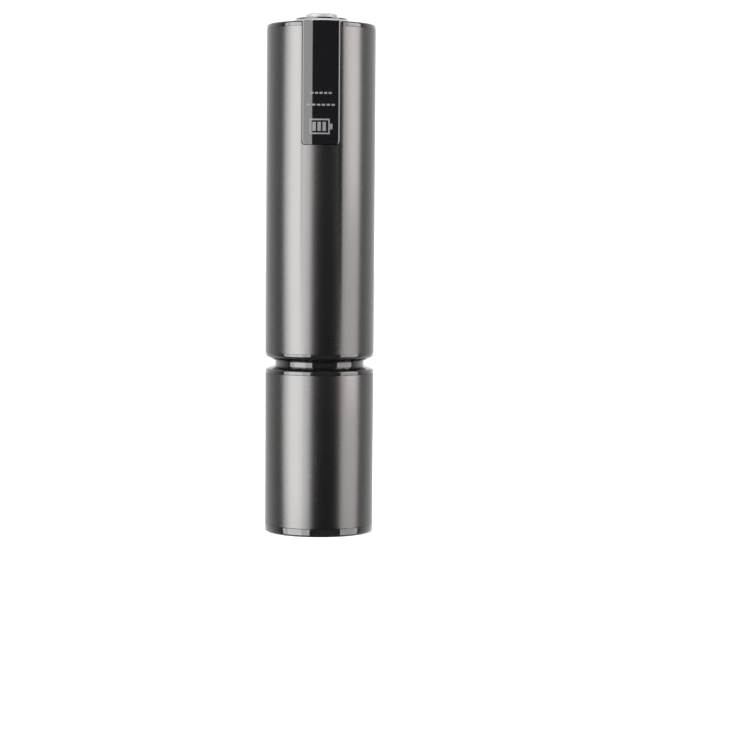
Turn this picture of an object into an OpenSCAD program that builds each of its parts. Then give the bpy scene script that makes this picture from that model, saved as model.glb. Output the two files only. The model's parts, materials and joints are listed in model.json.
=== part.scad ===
// Cordless electric wine opener: a motor housing above a bottle barrel, joined by a slim neck.
// Millimetres, +Z up, the origin at the middle of the base. The front is towards -Y.

/* [Body] */
// Outer radius of both metal sleeves
sleeve_r = 27.5; // [24:0.5:33]
// Wall of the metal sleeves
sleeve_wall = 0.8; // [0.6:0.1:1.4]
// Length of the lower metal sleeve
lower_len = 77; // [77:1:96]
// Length of the upper metal sleeve
upper_len = 162.5; // [162:0.5:195]
// Height of the polished base ring below the lower sleeve
base_h = 4; // [3:0.5:6]
// Height of the polished top ring above the upper sleeve
top_h = 2.5; // [2:0.5:4]
// Rounding of the top, base and lower shoulder rings' outer edges
ring_round = 1.1; // [0.5:0.1:1.5]
// Rounding of the upper shoulder ring, above the neck
shoulder_round = 2.2; // [1.2:0.1:2.6]

/* [Neck] */
// Outer radius of the recessed neck
neck_r = 22.6; // [21:0.2:24]
// Straight rim of the ring above the lower sleeve
lower_rim = 1.2; // [1:0.1:2.5]
// Height of the sloping shoulder below the neck
lower_slope = 2.6; // [1.5:0.1:4]
// Height of neck that shows between the shoulders
neck_h = 2.2; // [1.5:0.1:5]
// Height of the sloping shoulder above the neck
upper_slope = 3.8; // [2:0.1:5]
// Straight rim of the ring below the upper sleeve
upper_rim = 0.7; // [0.5:0.1:2]

/* [Button and panel] */
// Radius of the bright disc round the button
bezel_r = 15.6; // [14:0.2:17]
// Height of the bright disc above the top ring's edge
bezel_rise = 3.1; // [2:0.1:4]
// Radius of the button's crown
button_r = 8; // [6:0.25:9]
// Height of the crown above the disc
button_rise = 2.4; // [1.5:0.1:3]
// Travel of the button
button_travel = 1; // [0.5:0.1:1.4]
// Width of the front panel
panel_w = 19; // [16:0.5:22]
// Length of the front panel, down from the top edge
panel_len = 61; // [50:1:66]

/* [Bottle end] */
// Radius of the bore that takes the bottle's neck
bottle_bore_r = 15.3; // [15:0.1:18.5]
// Length of the bore that guides the bottle's lip
bottle_bore_len = 7; // [5:0.5:8]
// Height of the seat that stops the bottle
seat_z = 24; // [20:1:24]
// Thickness of the rubber seat
seat_h = 1.2; // [0.8:0.1:2]
// Radius of the chamber that takes the cork
cork_bore_r = 12.9; // [12.6:0.1:13.5]
// Wall of the inner barrel
barrel_wall = 2.2; // [1.8:0.1:3]
// Travel of the cork guide
guide_travel = 34; // [25:1:34]
// Thickness of the cork guide
guide_h = 5; // [4:0.5:5]
// Outer radius of the worm's coil
worm_r = 4.8; // [4.2:0.1:5]
// Thickness of the worm's wire
worm_wire = 3.2; // [2.6:0.1:3.4]
// Pitch of the worm's coil
worm_pitch = 9; // [8:0.5:11]
// Height of the worm's point above the base
worm_tip_z = 10.5; // [10.5:0.5:16]

/* [Gears] */
// Gear module
gear_m = 0.6; // [0.5:0.05:0.6]
// Teeth on each sun gear
sun_teeth = 12; // [12]
// Teeth on each planet
planet_teeth = 18; // [18]
// Width of each planet's face
face_w = 5; // [4:0.5:6]
// Thickness of a planet carrier
carrier_h = 2.5; // [2:0.5:3]
// Thinning of each tooth, for backlash
backlash = 0.1; // [0.08:0.01:0.14]
// Radius of the output shaft
shaft_r = 4; // [3:0.1:5]
// Radius of the planet pins
pin_r = 1.2; // [1:0.1:1.5]

/* [Motor and battery] */
// Radius of the motor's can
motor_r = 13.8; // [12:0.2:14.5]
// Length of the motor's can
motor_len = 34.5; // [30:0.5:36]
// Radius of the motor's shaft
motor_shaft_r = 1.15; // [1:0.05:1.5]
// Radius of a battery cell
cell_r = 9.1; // [7:0.1:9.3]
// Length of a battery cell
cell_len = 65; // [54:0.5:66]

/* [Fits] */
// Radial clearance of a shaft that turns in its bore
run_gap = 0.05; // [0.03:0.01:0.08]
// Clearance between pieces that slide past each other
slide_gap = 0.3; // [0.2:0.05:0.4]
// Clearance between fixed pieces that fit inside each other
fit_gap = 0.1; // [0.05:0.01:0.2]
// End play between turning pieces
end_gap = 0.4; // [0.3:0.05:0.6]

/* [Hidden] */
$fn = 96;
HULL_FN = 32;

// Levels, from the base up
sleeve_in_r = sleeve_r - sleeve_wall;
spigot_r = sleeve_in_r - fit_gap;
lower_top_z = base_h + lower_len;
neck_z0 = lower_top_z + lower_rim + lower_slope;
neck_z1 = neck_z0 + neck_h;
upper_z0 = neck_z1 + upper_slope + upper_rim;
upper_z1 = upper_z0 + upper_len;
top_z = upper_z1 + top_h;

// Inner barrel, hung from the neck
barrel_flange_h = 2;
barrel_top_z = lower_top_z - 5;
flange_z = barrel_top_z - barrel_flange_h;
barrel_foot_z = 1;
bore_lead = 1;
bore_z = barrel_foot_z + bore_lead;
bore_top_z = bore_z + bottle_bore_len;
relief_r = bottle_bore_r + 0.5;
guide_slot_w = 3.4;
spring_wire = 1.2;
guide_z = seat_z + 0.2;
guide_top_z = guide_z + guide_h;
guide_r = cork_bore_r - slide_gap;
hub_wall = 2.5;
hub_r = shaft_r + hub_wall;
hub_z0 = guide_top_z + guide_travel + 1.8;
hub_z1 = barrel_top_z - 1;
worm_centre_r = worm_r - worm_wire / 2;
pin_z = hub_z1 - 3;
shaft_z0 = hub_z1 - 6;
worm_pin_r = 1;

// Rings and chassis
rim_seat_h = 2.5;
chassis_z0 = upper_z0 + rim_seat_h;
chassis_r = sleeve_in_r - fit_gap;
chassis_wall = 1.8;
chassis_in_r = chassis_r - chassis_wall;
rib_h = 3;
rib_z1 = chassis_z0 + rib_h;
head_room = 12.5;
chassis_z1 = top_z - head_room;
chassis_lip_z = chassis_z1 - rib_h;
neck_bore_r = 13;
neck_seat_r = neck_r + fit_gap;

// Gearbox, from the output end up
sun_r = gear_m * sun_teeth / 2;
planet_r = gear_m * planet_teeth / 2;
ring_teeth = sun_teeth + 2 * planet_teeth;
ring_r = gear_m * ring_teeth / 2;
planet_orbit_r = sun_r + planet_r;
pressure_angle = 20;
addendum = 0.85;
dedendum = 1.25;
gearbox_r = ring_r + dedendum * gear_m + 2.3;
cover_h = 3;
cover_z1 = rib_z1 + cover_h;
carrier_2_z = cover_z1 + end_gap;
planet_2_z = carrier_2_z + carrier_h + end_gap;
carrier_1_z = planet_2_z + face_w + end_gap + 0.6;
planet_1_z = carrier_1_z + carrier_h + end_gap;
motor_plate_z = planet_1_z + face_w + end_gap + 1;
motor_plate_h = 3;
motor_z0 = motor_plate_z + motor_plate_h;
motor_z1 = motor_z0 + motor_len;
carrier_r = ring_r - addendum * gear_m - 0.9;
bush_r = shaft_r + 1.6;
lug_r = 2.6;
lug_at = gearbox_r + 1.1;
screw_r = 0.9;
plate_r = chassis_in_r - fit_gap;

// Motor
can_wall = 1;
end_cap_h = 4;
motor_boss_r = 3.1;
motor_boss_h = 2;
rotor_r = motor_r - can_wall - 3.4;
motor_screw_at = 8;

// Battery, hung from the chassis's top lip and never lower than the motor's terminals allow
carrier_plate_h = 3;
contact_h = 1;
terminal_room = 3.5;
battery_drop = 7.4;
battery_h = carrier_plate_h + 2 * contact_h + cell_len;
battery_z0 = max(motor_z1 + end_cap_h + terminal_room, chassis_lip_z - battery_drop - battery_h);
cell_z0 = battery_z0 + carrier_plate_h + contact_h;
cell_z1 = cell_z0 + cell_len;
battery_top_z = cell_z1 + contact_h;
cell_x = cell_r + 0.5;
cell_y = 3;

// Boards, button and panel
board_h = 1.6;
switch_board_r = 20;
bezel_top_z = top_z + bezel_rise;
button_top_z = bezel_top_z + button_rise;
bezel_web = 2;
flange_r = button_r + 1.6;
button_flange_h = 1.3;
flange_top_z = bezel_top_z - bezel_web - fit_gap;
flange_bottom_z = flange_top_z - button_flange_h;
switch_h = 3.5;
plunger_r = 1.7;
plunger_h = 0.8;
stem_r = 3;
plunger_top_z = chassis_z1 + board_h + switch_h + plunger_h;
stem_z0 = plunger_top_z + button_travel + fit_gap;
panel_in_r = chassis_r - 1.6;
panel_z0 = top_z - panel_len;
panel_corner_r = 1.5;
board_inset = 4.6;
board_front_y = board_inset - chassis_in_r;
control_board_h = 1.2;
control_board_w = 16;
control_board_len = 43.4;
control_board_z1 = chassis_lip_z - 1;
control_board_z0 = control_board_z1 - control_board_len;
control_board_screw_zs = [control_board_z0 + 3, control_board_z1 - 3];
socket_z = chassis_lip_z - 6;
socket_w = 8.9;
socket_h = 3.2;
socket_wall = 0.3;
socket_inset = 6.3;
socket_y0 = chassis_in_r - socket_inset;

// Chassis screw bosses, as [y, z], clear of the gearbox, the motor and the cells
boss_inset = 3.5;
boss_y = chassis_in_r - boss_inset;
boss_r = 2.3;
bosses = [[boss_y, planet_1_z], [-boss_y, planet_1_z], [boss_y, motor_z0 + 0.8 * motor_len],
  [-boss_y, motor_z0 + 0.8 * motor_len], [boss_y, cell_z0 + 0.6 * cell_len]];

// Colours
GUNMETAL = [0.36, 0.35, 0.35];
BLACK = [0.03, 0.03, 0.035];
SILVER = [0.78, 0.78, 0.8];
STEEL = [0.62, 0.63, 0.65];
BRASS = [0.75, 0.6, 0.3];
BOARD = [0.05, 0.3, 0.15];
PLASTIC = [0.14, 0.14, 0.15];
IVORY = [0.85, 0.83, 0.78];

// A ring between two radii, from one level to another
module ring(outer, inner, z0, z1) {
  translate([0, 0, z0]) difference() {
    cylinder(r = outer, h = z1 - z0);
    translate([0, 0, -1]) cylinder(r = inner, h = z1 - z0 + 2);
  }
}

// A round bar from one level to another
module bar(r, z0, z1) {
  translate([0, 0, z0]) cylinder(r = r, h = z1 - z0);
}

// A block from its lowest corner to its highest
module block(low, high) {
  translate(low) cube(high - low);
}

// Copies at even angles round Z
module around(count, first = 0) {
  for (i = [0 : count - 1]) rotate([0, 0, first + 360 * i / count]) children();
}

// The arc of a rounded corner: centre, radius, first and last angle
function arc(c, r, a0, a1, steps = 8) =
  [for (i = [0 : steps]) let (a = a0 + (a1 - a0) * i / steps) c + r * [cos(a), sin(a)]];

// One point on a helix
function helix_point(r, a, z) = [r * cos(a), r * sin(a), z];

// A wire of changing radius swept along a helix: path(i) gives [angle, radius, z, wire radius]
module swept_wire(path, sides) {
  count = len(path);
  rings = [for (i = [0 : count - 1]) let (p = path[i],
      q = path[min(i + 1, count - 1)], o = path[max(i - 1, 0)],
      a = helix_point(o[1], o[0], o[2]), b = helix_point(q[1], q[0], q[2]),
      t = (b - a) / norm(b - a), out = [cos(p[0]), sin(p[0]), 0],
      u0 = out - (out * t) * t, u = u0 / norm(u0), v = cross(t, u),
      c = helix_point(p[1], p[0], p[2]))
    for (s = [0 : sides - 1]) let (w = 360 * s / sides)
      c + p[3] * (cos(w) * u + sin(w) * v)];
  sides_faces = [for (i = [0 : count - 2], s = [0 : sides - 1]) let (n = (s + 1) % sides)
    each [[i * sides + s, (i + 1) * sides + s, (i + 1) * sides + n],
      [i * sides + s, (i + 1) * sides + n, i * sides + n]]];
  first = [for (s = [0 : sides - 1]) s];
  last = [for (s = [sides - 1 : -1 : 0]) (count - 1) * sides + s];
  polyhedron(rings, concat(sides_faces, [first, last]));
}

// A compression spring with flat closed ends, standing between two levels
module coil_spring(r, wire_r, z0, z1, turns, sides = 8, per_turn = 20) {
  closed = 1;
  low = z0 + wire_r;
  high = z1 - wire_r;
  dead = closed * 2.3 * wire_r;
  steps = (turns + 2 * closed) * per_turn;
  function height(t) = t < closed ? low + dead * t / closed
    : t > turns + closed ? high - dead * (turns + 2 * closed - t) / closed
    : low + dead + (high - low - 2 * dead) * (t - closed) / turns;
  swept_wire([for (i = [0 : steps]) let (t = i / per_turn)
    [360 * t, r, height(t), wire_r]], sides);
}

// Involute gear outline with its first tooth on +X
function involute(a) = tan(a) * 180 / PI - a;
function half_tooth(r, rho, teeth, thin) = let (base = r * cos(pressure_angle))
  90 / teeth - thin / 2 / r * 180 / PI + involute(pressure_angle)
  - (rho <= base ? 0 : involute(acos(base / rho)));
function gear_points(teeth, low, high, thin, steps = 5) =
  let (r = gear_m * teeth / 2, base = r * cos(pressure_angle), start = max(low, base))
  [for (i = [0 : teeth - 1]) let (mid = 360 * i / teeth,
      radii = concat(low < base ? [low] : [], [for (k = [0 : steps]) start + (high - start) * k / steps]),
      n = len(radii))
    for (k = [0 : 2 * n - 1]) let (rho = radii[k < n ? k : 2 * n - 1 - k],
        a = half_tooth(r, rho, teeth, thin) * (k < n ? -1 : 1))
      rho * [cos(mid + a), sin(mid + a)]];

// An outer gear standing on z = 0
module gear(teeth, h) {
  r = gear_m * teeth / 2;
  linear_extrude(height = h)
    polygon(gear_points(teeth, r - dedendum * gear_m, r + addendum * gear_m, backlash));
}

// The front panel's outline, seen from the front, pushed through the wall from r0 to r1 up to a level
module panel_cut(grow, r0, r1, high = top_z + 1) {
  w = panel_w / 2 + grow;
  low = panel_z0 - grow;
  corner = panel_corner_r + grow;
  intersection() {
    rotate([90, 0, 0]) linear_extrude(height = r1 + 5) polygon(concat(
      arc([corner - w, low + corner], corner, 180, 270),
      arc([w - corner, low + corner], corner, 270, 360),
      [[w, high], [-w, high]]));
    ring(r1, r0, panel_z0 - 5, top_z + 5);
  }
}

// The charging socket's opening, pushed outwards through the back wall
module socket_cut(grow, y0, y1) {
  w = (socket_w - socket_h) / 2;
  r = socket_h / 2 + grow;
  translate([0, y1, socket_z]) rotate([90, 0, 0]) linear_extrude(height = y1 - y0)
    polygon(concat(arc([w, 0], r, -90, 90), arc([-w, 0], r, 90, 270)));
}

// ---------------------------------------------------------------- sleeves and rings

module lower_sleeve() {
  color(GUNMETAL) ring(sleeve_r, sleeve_in_r, base_h, lower_top_z);
}

module upper_sleeve() {
  color(GUNMETAL) difference() {
    ring(sleeve_r, sleeve_in_r, upper_z0, upper_z1);
    panel_cut(fit_gap, sleeve_in_r - 1, sleeve_r + 1);
    socket_cut(0.6, sleeve_in_r - 4, sleeve_r + 1);
  }
}

// Profile from the seat inside the sleeve to the rounded outer edge of the base
module base_ring() {
  hole = bottle_bore_r + barrel_wall + fit_gap;
  color(BLACK) rotate_extrude() polygon(concat(
    [[hole, 0]],
    arc([sleeve_r - ring_round, ring_round], ring_round, 270, 360),
    [[sleeve_r, base_h], [spigot_r, base_h], [spigot_r, base_h + 5],
      [spigot_r - 2, base_h + 5], [spigot_r - 2, base_h], [hole, base_h]]));
}

module lower_end_ring() {
  rim_z = lower_top_z + lower_rim;
  color(BLACK) rotate_extrude() polygon(concat(
    [[neck_seat_r, barrel_top_z], [spigot_r, barrel_top_z], [spigot_r, lower_top_z],
      [sleeve_r, lower_top_z]],
    arc([sleeve_r - ring_round, rim_z], ring_round, 0, 65),
    [[neck_seat_r, neck_z0]]));
}

module upper_end_ring() {
  rim_z = upper_z0 - upper_rim;
  color(BLACK) rotate_extrude() polygon(concat(
    [[neck_seat_r, chassis_z0], [neck_seat_r, neck_z1]],
    arc([sleeve_r - shoulder_round, rim_z], shoulder_round, -55, 0),
    [[sleeve_r, upper_z0], [spigot_r, upper_z0], [spigot_r, chassis_z0]]));
}

module neck_ring() {
  color(BLACK) difference() {
    ring(neck_r, neck_bore_r, barrel_top_z, chassis_z0);
    barrel_screw_holes(screw_r + 0.2, barrel_top_z - 1, chassis_z0 + 1);
  }
}

module top_ring() {
  shoulder_r = bezel_r + 3.4;
  rise = 1;
  color(BLACK) difference() {
    rotate_extrude() polygon(concat(
      [[bezel_r + fit_gap, upper_z1], [spigot_r - 3, upper_z1], [spigot_r - 3, upper_z1 - 6],
        [spigot_r, upper_z1 - 6], [spigot_r, upper_z1], [sleeve_r, upper_z1]],
      arc([sleeve_r - ring_round, top_z - ring_round], ring_round, 0, 90),
      [[shoulder_r, top_z], [bezel_r + 1, top_z + rise], [bezel_r + fit_gap, top_z + rise]]));
    panel_cut(fit_gap, panel_in_r - fit_gap, sleeve_r + 1);
  }
}

// ---------------------------------------------------------------- button and switch

module button_bezel() {
  cavity_r = flange_r + slide_gap;
  edge = 0.8;
  color(SILVER) rotate_extrude() polygon(concat(
    [[cavity_r, upper_z1], [bezel_r, upper_z1]],
    arc([bezel_r - edge, bezel_top_z - edge], edge, 0, 90),
    [[button_r + fit_gap, bezel_top_z], [button_r + fit_gap, bezel_top_z - bezel_web],
      [cavity_r, bezel_top_z - bezel_web]]));
}

module power_button() {
  edge = 0.9;
  crown = 0.6;
  color(SILVER) rotate_extrude() polygon(concat(
    [[0, stem_z0], [stem_r, stem_z0], [stem_r, flange_bottom_z], [flange_r, flange_bottom_z],
      [flange_r, flange_top_z], [button_r, flange_top_z]],
    arc([button_r - edge, button_top_z - crown - edge], edge, 0, 80),
    [[button_r - 3, button_top_z - crown / 4], [0, button_top_z]]));
}

module button_spring() {
  color(STEEL) coil_spring(stem_r + 2.2, 0.4, chassis_z1 + board_h, flange_bottom_z, 4, 6, 16);
}

module tact_switch() {
  half = 3;
  z0 = chassis_z1 + board_h;
  color(PLASTIC) {
    block([-half, -half, z0], [half, half, z0 + switch_h]);
    bar(plunger_r, z0 + switch_h, plunger_top_z);
  }
}

module switch_board_screw_places() {
  around(2) translate([switch_board_r - 3, 0, 0]) children();
}

module switch_board() {
  color(BOARD) difference() {
    bar(switch_board_r, chassis_z1, chassis_z1 + board_h);
    switch_board_screw_places() bar(screw_r + 0.2, chassis_z1 - 1, chassis_z1 + board_h + 1);
  }
}

module switch_board_screws() {
  color(STEEL) switch_board_screw_places() {
    bar(screw_r, chassis_z1 - 2.5, chassis_z1 + board_h);
    bar(1.8, chassis_z1 + board_h, chassis_z1 + board_h + 1.2);
  }
}

// ---------------------------------------------------------------- panel and electronics

module control_panel() {
  mark_w = 4;
  mark_h = 0.6;
  mark_z = 19.5;
  mark_pitch = 6;
  mark_depth = 0.12;
  color(BLACK) difference() {
    panel_cut(0, panel_in_r, sleeve_r, top_z);
    for (k = [0 : 1]) intersection() {
      block([-mark_w, -sleeve_r - 1, panel_z0 + mark_z + mark_pitch * k],
        [mark_w, 0, panel_z0 + mark_z + mark_h + mark_pitch * k]);
      ring(sleeve_r + 1, sleeve_r - mark_depth, panel_z0, top_z);
    }
  }
}

module control_board() {
  color(BOARD) difference() {
    block([-control_board_w / 2, board_front_y, control_board_z0],
      [control_board_w / 2, board_front_y + control_board_h, control_board_z1]);
    control_board_screw_places() bar(screw_r + 0.2, -1, control_board_h + 1);
  }
}

// Two places on the board, with Z pointing out of its front
module control_board_screw_places() {
  for (z = control_board_screw_zs)
    translate([0, board_front_y + control_board_h, z]) rotate([90, 0, 0]) children();
}

module control_chips() {
  half = 3.5;
  thick = 1.4;
  length = 5;
  pitch = 9;
  back_y = board_front_y + control_board_h;
  first_z = control_board_z0 + 8;
  color(PLASTIC) for (k = [0 : 2])
    block([-half, back_y, first_z + pitch * k], [half, back_y + thick, first_z + length + pitch * k]);
}

module status_leds() {
  half = 1;
  thick = 0.9;
  length = 1.6;
  pitch = 3;
  first_z = control_board_z0 + 8;
  color("white") for (k = [0 : 2])
    block([-half, board_front_y - thick, first_z + pitch * k],
      [half, board_front_y, first_z + length + pitch * k]);
}

module light_pipe() {
  half = 2;
  length = 10;
  led_gap = 1;
  panel_gap = 0.4;
  z0 = control_board_z0 + 7;
  color(IVORY) block([-half, panel_gap - panel_in_r, z0],
    [half, board_front_y - led_gap, z0 + length]);
}

module control_board_screws() {
  color(STEEL) control_board_screw_places() {
    bar(screw_r, -4, control_board_h);
    bar(1.7, control_board_h, control_board_h + 1.1);
  }
}

module charging_socket() {
  depth = 7;
  tongue_w = 5;
  tongue_h = 0.7;
  color(STEEL) {
    difference() {
      socket_cut(0, socket_y0, socket_y0 + depth);
      socket_cut(-socket_wall, socket_y0 + 1, socket_y0 + depth + 1);
    }
    block([-tongue_w / 2, socket_y0 + 0.5, socket_z - tongue_h / 2],
      [tongue_w / 2, socket_y0 + depth - 1, socket_z + tongue_h / 2]);
  }
}

// The small board that the charging socket is soldered to
module charge_board() {
  half = 6.5;
  thick = 1;
  overhang = 2;
  length = 6.7;
  top = socket_z - socket_h / 2;
  y0 = socket_y0 - overhang;
  color(BOARD) block([-half, y0, top - thick], [half, y0 + length, top]);
}

// ---------------------------------------------------------------- battery

module battery_cell(side) {
  tip = 0.9;
  translate([side * cell_x, cell_y, 0]) {
    bar(cell_r, cell_z0, cell_z1 - tip);
    bar(cell_r / 3, cell_z1 - tip, cell_z1);
  }
}

module battery_cell_left() {
  color("steelblue") battery_cell(-1);
}

module battery_cell_right() {
  color("steelblue") battery_cell(1);
}

module battery_carrier() {
  web = 0.8;
  web_reach = 8;
  rail_w = 3;
  rail_depth = 7;
  rail_y0 = cell_y - web_reach;
  rail_y1 = board_front_y + control_board_h;
  top_plate_h = 2;
  board_room = 2.8;
  screw_depth = 6;
  color(PLASTIC) difference() {
    union() {
      bar(plate_r, battery_z0, battery_z0 + carrier_plate_h);
      intersection() {
        bar(plate_r, battery_top_z, battery_top_z + top_plate_h);
        block([-plate_r, -plate_r, 0], [plate_r, socket_y0 - 2, top_z]);
      }
      block([-web / 2, rail_y0, battery_z0], [web / 2, cell_y + web_reach, battery_top_z + 1]);
      for (z = control_board_screw_zs)
        block([-rail_w / 2, rail_y1, z - rail_w], [rail_w / 2, rail_y0, z + rail_w]);
      block([-rail_w / 2, rail_y0 - rail_depth, battery_z0], [rail_w / 2, rail_y0, battery_top_z]);
    }
    control_board_screw_places() bar(screw_r, -screw_depth, control_board_h + 1);
    panel_cut(1, plate_r - 3, sleeve_r);
    intersection() {
      block([-control_board_w, -plate_r, battery_top_z - 1],
        [control_board_w, board_front_y + board_room, battery_top_z + top_plate_h + 1]);
      bar(plate_r + 1, battery_top_z - 1, battery_top_z + top_plate_h + 1);
    }
  }
}

module battery_contacts() {
  color(BRASS) for (side = [-1, 1], z = [cell_z0 - contact_h, cell_z1])
    translate([side * cell_x, cell_y, 0]) bar(4, z, z + contact_h);
}

// ---------------------------------------------------------------- motor

module motor_can() {
  color(STEEL) difference() {
    union() {
      bar(motor_r, motor_z0, motor_z1);
      bar(motor_boss_r, motor_z0 - motor_boss_h, motor_z0 + can_wall);
    }
    bar(motor_r - can_wall, motor_z0 + can_wall, motor_z1 + 1);
    bar(motor_shaft_r + run_gap, motor_z0 - motor_boss_h - 1, motor_z1);
    motor_screw_places() bar(screw_r, motor_z0 - 1, motor_z0 + can_wall + 1);
  }
}

module motor_screw_places() {
  around(2) translate([motor_screw_at, 0, 0]) children();
}

module motor_screws() {
  head_h = 1.2;
  color(STEEL) motor_screw_places() {
    bar(1.6, motor_plate_z, motor_plate_z + head_h);
    bar(screw_r, motor_plate_z + head_h, motor_z0 + can_wall);
  }
}

module motor_end_cap() {
  terminal_w = 1.4;
  color(PLASTIC) difference() {
    union() {
      bar(motor_r, motor_z1, motor_z1 + end_cap_h);
      for (side = [-1, 1]) block([side * 8 - terminal_w / 2, -0.3, motor_z1 + end_cap_h],
        [side * 8 + terminal_w / 2, 0.3, motor_z1 + end_cap_h + 2.6]);
    }
    bar(motor_shaft_r + run_gap, motor_z1 - 1, motor_z1 + end_cap_h + 1);
  }
}

// Two curved magnets against the can's wall
module motor_magnets() {
  gap = 6;
  color(PLASTIC) difference() {
    ring(motor_r - can_wall - fit_gap, motor_r - can_wall - 2.6, motor_z0 + 3, motor_z1 - 4);
    block([-gap, -motor_r, motor_z0], [gap, motor_r, motor_z1]);
  }
}

module motor_rotor() {
  poles = 3;
  slot_w = 2.4;
  z0 = motor_z0 + 5;
  z1 = motor_z1 - 6;
  color(BRASS) difference() {
    ring(rotor_r, motor_shaft_r, z0, z1);
    around(poles) block([rotor_r - 3.5, -slot_w / 2, z0 - 1], [rotor_r + 1, slot_w / 2, z1 + 1]);
  }
}

module motor_shaft() {
  color(STEEL) bar(motor_shaft_r, planet_1_z + end_gap, motor_z1 + end_cap_h + 1.5);
}

// ---------------------------------------------------------------- gearbox

module lug_places() {
  around(4, 45) translate([lug_at, 0, 0]) children();
}

module motor_plate() {
  head_h = 1.2;
  color(PLASTIC) difference() {
    union() {
      bar(gearbox_r, motor_plate_z, motor_z0);
      lug_places() bar(lug_r, motor_plate_z, motor_z0);
    }
    bar(motor_boss_r + fit_gap, motor_plate_z - 1, motor_z0 + 1);
    motor_screw_places() {
      bar(1.6 + fit_gap, motor_plate_z - 1, motor_plate_z + head_h);
      bar(screw_r + fit_gap, motor_plate_z, motor_z0 + 1);
    }
    lug_places() bar(screw_r, motor_plate_z - 1, motor_z0 - 0.5);
  }
}

// The tube whose inner wall is the ring gear of both stages, clamped by the long screws
module gearbox_ring_gear() {
  color(PLASTIC) translate([0, 0, cover_z1]) linear_extrude(height = motor_plate_z - cover_z1)
    difference() {
      circle(r = gearbox_r);
      rotate(180 / ring_teeth) polygon(gear_points(ring_teeth,
        ring_r - addendum * gear_m, ring_r + dedendum * gear_m, -backlash));
    }
}

module gearbox_cover() {
  color(PLASTIC) difference() {
    union() {
      bar(gearbox_r, rib_z1, cover_z1);
      lug_places() bar(lug_r, rib_z1, cover_z1);
    }
    bar(bush_r + fit_gap / 2, rib_z1 - 1, cover_z1 + 1);
    lug_places() {
      bar(screw_r + fit_gap, rib_z1 - 1, cover_z1 + 1);
      bar(1.7 + fit_gap, rib_z1 - 1, rib_z1 + 1.2);
    }
  }
}

module gearbox_screws() {
  color(STEEL) lug_places() {
    bar(1.7, rib_z1, rib_z1 + 1.2);
    bar(screw_r, rib_z1 + 1.2, motor_z0 - 0.7);
  }
}

module output_bush() {
  color(BRASS) ring(bush_r, shaft_r + run_gap, chassis_z0, cover_z1);
}

// A planet at one of three places round the sun, with a gap turned to the sun's tooth
module planet(z, place) {
  color(IVORY) rotate([0, 0, 120 * place]) translate([planet_orbit_r, 0, z]) difference() {
    rotate([0, 0, 180 / planet_teeth]) gear(planet_teeth, face_w);
    bar(pin_r + run_gap, -1, face_w + 1);
  }
}

module planet_1a() { planet(planet_1_z, 0); }
module planet_1b() { planet(planet_1_z, 1); }
module planet_1c() { planet(planet_1_z, 2); }
module planet_2a() { planet(planet_2_z, 0); }
module planet_2b() { planet(planet_2_z, 1); }
module planet_2c() { planet(planet_2_z, 2); }

module sun_gear_1() {
  z0 = planet_1_z + end_gap;
  color(BRASS) difference() {
    translate([0, 0, z0]) gear(sun_teeth, face_w);
    bar(motor_shaft_r, z0 - 1, z0 + face_w + 1);
  }
}

module sun_gear_2() {
  z0 = planet_2_z + end_gap;
  color(BRASS) translate([0, 0, z0]) gear(sun_teeth, carrier_1_z - z0);
}

module carrier_plate(z) {
  difference() {
    bar(carrier_r, z, z + carrier_h);
    around(3) translate([planet_orbit_r, 0, 0]) bar(pin_r, z - 1, z + carrier_h + 1);
  }
}

module carrier_pins(z, planet_z) {
  color(STEEL) around(3) translate([planet_orbit_r, 0, 0]) bar(pin_r, z, planet_z + face_w + end_gap / 2);
}

module carrier_1() {
  color(STEEL) carrier_plate(carrier_1_z);
}

module carrier_1_pins() {
  carrier_pins(carrier_1_z, planet_1_z);
}

// The second carrier and the output shaft in one piece, cross-drilled for the worm's pin
module carrier_2() {
  color(STEEL) difference() {
    union() {
      carrier_plate(carrier_2_z);
      bar(shaft_r, shaft_z0, carrier_2_z);
    }
    cross_pin(worm_pin_r, hub_r + 1);
  }
}

module carrier_2_pins() {
  carrier_pins(carrier_2_z, planet_2_z);
}

// ---------------------------------------------------------------- chassis

module half_space(side) {
  far = 2 * sleeve_r;
  translate([side > 0 ? 0 : -far, -far, 0]) cube([far, 2 * far, top_z]);
}

module boss_places() {
  for (b = bosses) translate([0, b[0], b[1]]) rotate([0, 90, 0]) children();
}

module chassis_half(side) {
  reach = 0.6 * chassis_in_r;
  difference() {
    intersection() {
      union() {
        ring(chassis_r, chassis_in_r, chassis_z0, chassis_z1);
        ring(chassis_r, neck_bore_r, chassis_z0, rib_z1);
        ring(chassis_r, switch_board_r - 5, chassis_lip_z, chassis_z1);
        intersection() {
          boss_places() bar(boss_r, -reach, reach);
          bar(chassis_r, chassis_z0, chassis_z1);
        }
      }
      half_space(side);
    }
    boss_places() bar(screw_r, -reach - 1, reach + 1);
    barrel_screw_holes(screw_r, chassis_z0 - 1, rib_z1 - 0.4);
    switch_board_screw_places() bar(screw_r, chassis_lip_z - 1, chassis_z1 + 1);
    panel_cut(fit_gap, chassis_in_r - 1, chassis_r + 1);
    socket_cut(fit_gap, chassis_in_r - 6, chassis_r + 1);
  }
}

module chassis_left() {
  color(PLASTIC) chassis_half(-1);
}

module chassis_right() {
  color(PLASTIC) chassis_half(1);
}

module chassis_screws() {
  reach = 9;
  color(STEEL) boss_places() bar(screw_r, -reach, reach);
}

// ---------------------------------------------------------------- worm and bottle end

module barrel_screw_places() {
  around(3, 90) translate([(neck_bore_r + neck_r) / 2, 0, 0]) children();
}

module barrel_screw_holes(r, z0, z1) {
  barrel_screw_places() bar(r, z0, z1);
}

module barrel_screws() {
  head_h = 1.4;
  color(STEEL) barrel_screw_places() {
    bar(1.8, flange_z - head_h, flange_z);
    bar(screw_r, flange_z, rib_z1 - 0.6);
  }
}

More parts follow.
